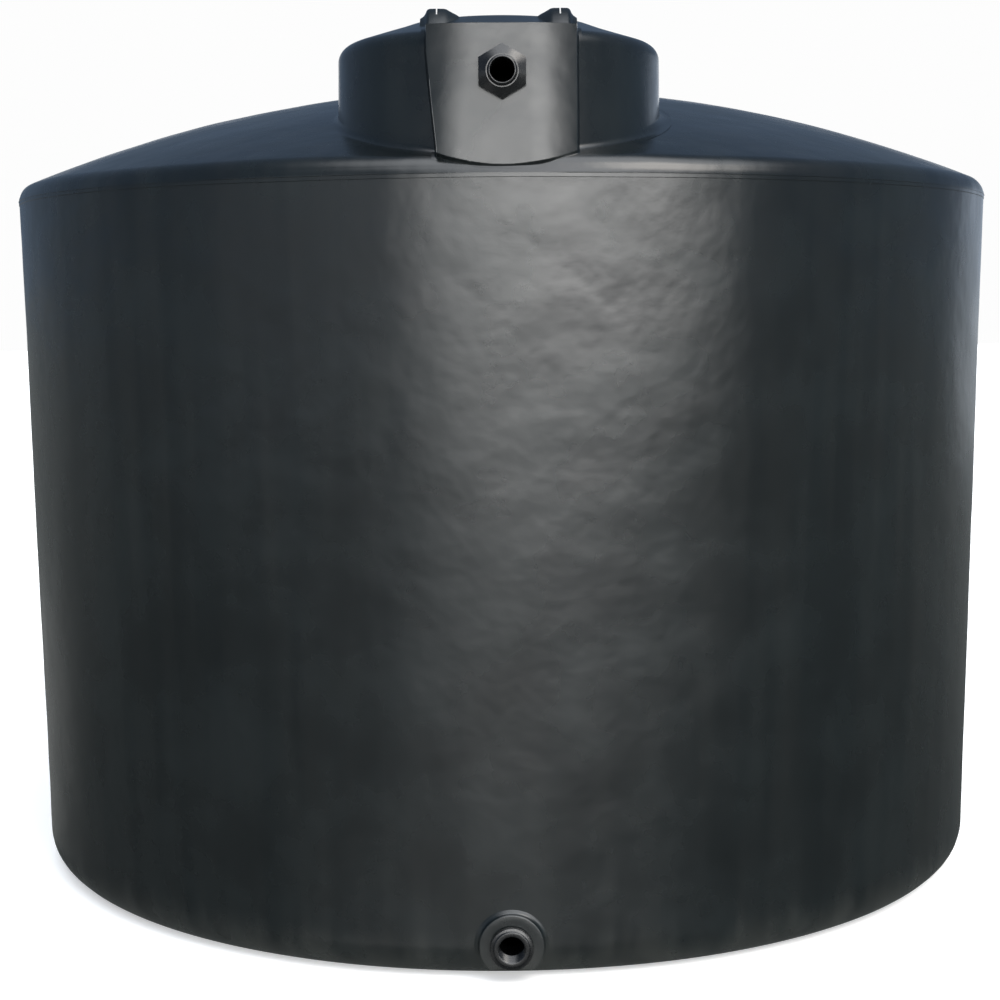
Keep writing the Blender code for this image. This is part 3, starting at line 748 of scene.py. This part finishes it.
# Pressed rubber comes out of its mould dull. Polypropylene is injected into a polished mould, so the
# fittings are the glossiest pieces here.
rubber = plain_moulding("black_moulded_rubber", "#101010", (0.62, 0.75))
fitting_plastic = plain_moulding("black_moulded_polypropylene", "#0c0d0e", (0.22, 0.30))
for node in ("lid_gasket", "inlet_gasket", "outlet_gasket"):
    finish_node(node, rubber)

vent_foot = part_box("lid_vent_cap")[0][2]
vent_section = [(0.0, 0.0), (0.026, 0.0), (0.026, 0.004), (0.0385, 0.004), (0.0396, 0.0043),
                (0.0400, 0.0052), (0.0396, 0.0063), (0.0382, 0.0073), (0.034, 0.0088), (0.026, 0.0100),
                (0.014, 0.0107), (0.0, 0.011)]
mesh = grid_mesh("vent_cap", turned_rings([(radius, vent_foot + up) for radius, up in vent_section],
                                          VENT_STEPS, MANWAY_PLACE), closed_section=False)
smooth(add_piece("vent_cap", mesh, fitting_plastic, ["lid_vent_cap"]))


# Lifting lugs
# Four lugs round the manway, moulded with the neck, each with a narrow slot for a strap. Polyethylene
# can't take sharp corners, so a lug flares into the crown: steeply on its outer side, long on its inner.
LUG_PLACE = 0.238
LUG_ANGLE = 34.0
LUG_LENGTH = 0.050
LUG_SLOT = 0.0028
LUG_SLOT_DEPTH = 0.015
LUG_OUTLINE = [(-0.056, -0.040), (-0.052, -0.020), (-0.043, -0.0135), (-0.033, -0.0085), (-0.026, -0.0045),
               (-0.021, -0.0015), (-0.015, -0.0002), (0.0, 0.0), (0.015, -0.0002), (0.0195, -0.0018),
               (0.0222, -0.0055), (0.0245, -0.011), (0.0285, -0.0165), (0.036, -0.0215), (0.038, -0.040)]
LUG_SKIRT = 0.052
LUG_DROP = 0.048
LUG_DROP_POWER = 1.25
LUG_ROWS = 8
MOUTH_CUT = (1.9, 2.3)


def front_prism(name, outline, near, far):
    """An outline in X and Z, drawn out to the front between two distances from the tank's axis."""
    return grid_mesh(name, [[(x, -distance, z) for x, z in outline] for distance in (near, far)],
                     closed_section=False)


def bevelled(mesh, width, segments=3, least_angle=30.0):
    """Round a mesh's sharp edges."""
    work = bmesh.new()
    work.from_mesh(mesh)
    edges = [edge for edge in work.edges if edge.calc_face_angle(0.0) > math.radians(least_angle)]
    bmesh.ops.bevel(work, geom=edges, offset=width, segments=segments, profile=0.5, affect="EDGES",
                    clamp_overlap=True)
    work.to_mesh(mesh)
    work.free()
    return mesh


for end, fore in (("front", 1), ("back", -1)):
    for side, way in (("right", 1), ("left", -1)):
        name = f"lifting_lug_{end}_{side}"
        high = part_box(name)[1]
        across = NECK_X + way * LUG_PLACE * math.sin(math.radians(LUG_ANGLE))
        distance = -NECK_Y + fore * LUG_PLACE * math.cos(math.radians(LUG_ANGLE))
        rings = []
        for t in [i / LUG_ROWS for i in range(-LUG_ROWS, LUG_ROWS + 1)]:
            along = t * (LUG_SKIRT if t * fore > 0 else LUG_LENGTH / 2)
            crest = high.z - LUG_DROP * abs(t) ** LUG_DROP_POWER
            rings.append([(across + way * x, -distance - along, crest + z) for x, z in LUG_OUTLINE])
        mesh = grid_mesh(name + "_skin", rings, closed_section=False)
        lug = add_piece(name + "_skin", mesh, shell_plastic, [name])
        slot = [(across + right * LUG_SLOT / 2, high.z + up * LUG_SLOT_DEPTH)
                for right, up in ((-1, -1), (1, -1), (1, 1), (-1, 1))]
        cut(lug, front_prism("cutter", slot, distance - LUG_LENGTH, distance + LUG_LENGTH))
        mouth = [(CROWN_RADIUS + 0.001, level) for level in MOUTH_CUT]
        cut(lug, grid_mesh("cutter", turned_rings(mouth, MANWAY_STEPS, MANWAY_PLACE),
                           closed_section=False))
        smooth(lug)


# Inlet
# A two-inch tank fitting of black polypropylene. Its threaded barrel comes out through the pad, and a
# hex nut, with a deep chamfer at its front, clamps it there. The bore is smooth.
INLET_BORE = 0.0255
THREAD_PITCH = 0.0022
THREAD_DEPTH = 0.0011
NUT_ACROSS = 0.098
NUT_THICK = 0.022
NUT_CHAMFER_START = 0.0340
NUT_CHAMFER = 25.0
CONE_REACH = 0.040
CONE_BACK = 0.06
INLET_FLANGE = 0.012
FLANGE_EDGE = 0.002
FITTING_STEPS = 96


def front_rings(section, steps, side, height):
    """Rings for a section of radius and distance, turned about an axis that looks to the front."""
    return [[(side + radius * math.cos(a), -distance, height + radius * math.sin(a)) for a in turns(steps)]
            for radius, distance in section]


def thread(start, end, radius, inwards):
    """A section with one groove for each turn of a thread. Inwards is -1 on a barrel and 1 in a bore."""
    points = []
    for turn in range(int((end - start) / THREAD_PITCH)):
        here = start + turn * THREAD_PITCH
        for share, depth in ((0.0, 0.0), (0.18, 0.0), (0.5, 1.0), (0.68, 1.0)):
            points.append((radius + inwards * THREAD_DEPTH * depth, here + share * THREAD_PITCH))
    return points


inlet_low, inlet_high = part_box("inlet_body")
inlet_end = -inlet_low.y
inlet_back = -inlet_high.y
flange_radius = (inlet_high.x - inlet_low.x) / 2
flange_front = inlet_back + INLET_FLANGE
nut_front = PAD_FACE + NUT_THICK
section = [(INLET_BORE, inlet_back), (flange_radius - FLANGE_EDGE, inlet_back),
           (flange_radius, inlet_back + FLANGE_EDGE), (flange_radius, flange_front - FLANGE_EDGE),
           (flange_radius - FLANGE_EDGE, flange_front), (INLET_BARREL, flange_front),
           (INLET_BARREL, PAD_FACE + NUT_THICK * 0.5)]
section += thread(PAD_FACE + NUT_THICK * 0.6, inlet_end - 0.003, INLET_BARREL, -1)
section += [(INLET_BARREL, inlet_end - 0.0028), (INLET_BARREL - 0.0003, inlet_end - 0.0020),
            (INLET_BARREL - 0.0010, inlet_end - 0.0013), (INLET_BARREL - 0.0024, inlet_end - 0.0006),
            (INLET_BORE + 0.0012, inlet_end), (INLET_BORE + 0.0003, inlet_end - 0.0004),
            (INLET_BORE, inlet_end - 0.0014)]
mesh = grid_mesh("inlet_barrel", front_rings(section, FITTING_STEPS, INLET_X, INLET_Z))
smooth(add_piece("inlet_barrel", mesh, fitting_plastic, ["inlet_body"]), 50.0)

corner = NUT_ACROSS / math.sqrt(3)
hexagon = [(INLET_X + corner * math.sin(a), INLET_Z + corner * math.cos(a)) for a in turns(6)]
mesh = bevelled(front_prism("hex_nut", hexagon, PAD_FACE + HOLE_PLAY, nut_front), 0.0012, 2)
nut = add_piece("hex_nut", mesh, fitting_plastic, ["inlet_nut"])
wide = NUT_CHAMFER_START + CONE_REACH
cone_edge = nut_front - CONE_REACH * math.tan(math.radians(NUT_CHAMFER))
cone_section = [(INLET_BARREL + HOLE_PLAY, nut_front - CONE_BACK), (wide, nut_front - CONE_BACK),
                (wide, cone_edge), (NUT_CHAMFER_START, nut_front), (INLET_BARREL + 0.0012, nut_front),
                (INLET_BARREL + HOLE_PLAY, nut_front - 0.001)]
cut(nut, grid_mesh("cutter", front_rings(cone_section, FITTING_STEPS, INLET_X, INLET_Z)), "INTERSECT")
smooth(nut, 25.0)


# Outlet
# A round boss, moulded low on the wall, gives a flat seat to the outlet: a flanged polypropylene
# fitting with a raised collar and an inside pipe thread. A nut inside the tank clamps it.
OUTLET_X = 0.010
OUTLET_Z = 0.083
OUTLET_BARREL = 0.036
OUTLET_BORE = 0.0285
OUTLET_CUT = (1.10, 1.40)
OUTLET_REACH = 0.014
BOSS_RADIUS = 0.072
BOSS_FOOT = 0.030
BOSS_ROUND = 0.003
BOSS_FILLET = 0.008
BOSS_TOE = 0.004
BOSS_SUNK = 0.004
FILLET_SUNK = 0.0008
BOSS_STEPS = 120
boss_face = -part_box("outlet_boss")[0].y
boss_back = -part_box("outlet_boss")[1].y
cut(shell, front_cylinder(OUTLET_BARREL + HOLE_PLAY, OUTLET_X, OUTLET_Z, *OUTLET_CUT))
smooth(shell, 30.0)


def wall_distance(x, z):
    """How far to the front the wall's outer face stands, over the heel too."""
    if z < HEEL_RADIUS:
        radius = heel_centre[0] + math.sqrt(max(HEEL_RADIUS ** 2 - (HEEL_RADIUS - max(z, 0.0)) ** 2, 0.0))
    else:
        widening = (SHOULDER_RADIUS - BASE_RADIUS) * (z - HEEL_RADIUS) / (SHOULDER_HEIGHT - HEEL_RADIUS)
        radius = BASE_RADIUS + widening
    return math.sqrt(radius ** 2 - x ** 2)


def boss_section(angle):
    """The boss's section in one direction from the outlet's axis, from its toe in to the bore."""
    down = -math.sin(angle)
    edge = min(BOSS_RADIUS, (OUTLET_Z - BOSS_FOOT) / down) if down > 0 else BOSS_RADIUS

    def wall(out):
        return wall_distance(OUTLET_X + out * math.cos(angle), OUTLET_Z + out * math.sin(angle))

    side_foot = min(wall(edge), boss_face - BOSS_ROUND - 0.0005)
    fillet = min(BOSS_FILLET, boss_face - BOSS_ROUND - side_foot)
    toe = edge + BOSS_FILLET + BOSS_TOE
    section = [(toe, wall(toe) - BOSS_SUNK)]
    quarter_turn = (0.0, 0.25, 0.5, 0.75, 1.0)
    for share in quarter_turn:
        turn = math.radians(90.0 * share)
        out = edge + BOSS_FILLET * (1 - math.sin(turn))
        section.append((out, wall(out) + fillet * (1 - math.cos(turn)) - FILLET_SUNK * (1 - share)))
    for share in quarter_turn:
        turn = math.radians(90.0 * share)
        section.append((edge - BOSS_ROUND * (1 - math.cos(turn)),
                        boss_face - BOSS_ROUND * (1 - math.sin(turn))))
    hole = OUTLET_BARREL + HOLE_PLAY
    return section + between((edge - BOSS_ROUND, boss_face), (hole, boss_face), 3) + [
        (hole, boss_face), (hole, boss_back), (edge - 0.002, boss_back)]


angles = turns(BOSS_STEPS)
sections = [boss_section(angle) for angle in angles]
rings = [[(OUTLET_X + section[k][0] * math.cos(a), -section[k][1], OUTLET_Z + section[k][0] * math.sin(a))
          for a, section in zip(angles, sections)] for k in range(len(sections[0]))]
mesh = grid_mesh("outlet_boss_skin", rings)
smooth(add_piece("outlet_boss_skin", mesh, shell_plastic, ["outlet_boss"]))

outlet_low, outlet_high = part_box("outlet_body")
outlet_front = -outlet_low.y
outlet_back = -outlet_high.y
flange = (outlet_high.x - outlet_low.x) / 2
seat = outlet_front - OUTLET_REACH
section = [(OUTLET_BORE, outlet_back), (OUTLET_BARREL, outlet_back), (OUTLET_BARREL, seat),
           (flange - 0.001, seat), (flange, seat + 0.001), (flange, seat + 0.0097),
           (flange - 0.0004, seat + 0.0107), (flange - 0.0013, seat + 0.0110),
           (0.0408, seat + 0.0110), (0.0402, seat + 0.0114),
           (0.0400, seat + 0.0125), (0.0391, seat + 0.0136), (0.0378, outlet_front), (0.0312, outlet_front),
           (0.0300, seat + 0.0136), (OUTLET_BORE, seat + 0.012)]
section += thread(outlet_front - 0.045, outlet_front - 0.003, OUTLET_BORE, 1)[::-1]
mesh = grid_mesh("outlet_fitting", front_rings(section, FITTING_STEPS, OUTLET_X, OUTLET_Z))
smooth(add_piece("outlet_fitting", mesh, fitting_plastic, ["outlet_body"]), 50.0)
finish_node("outlet_nut", fitting_plastic)
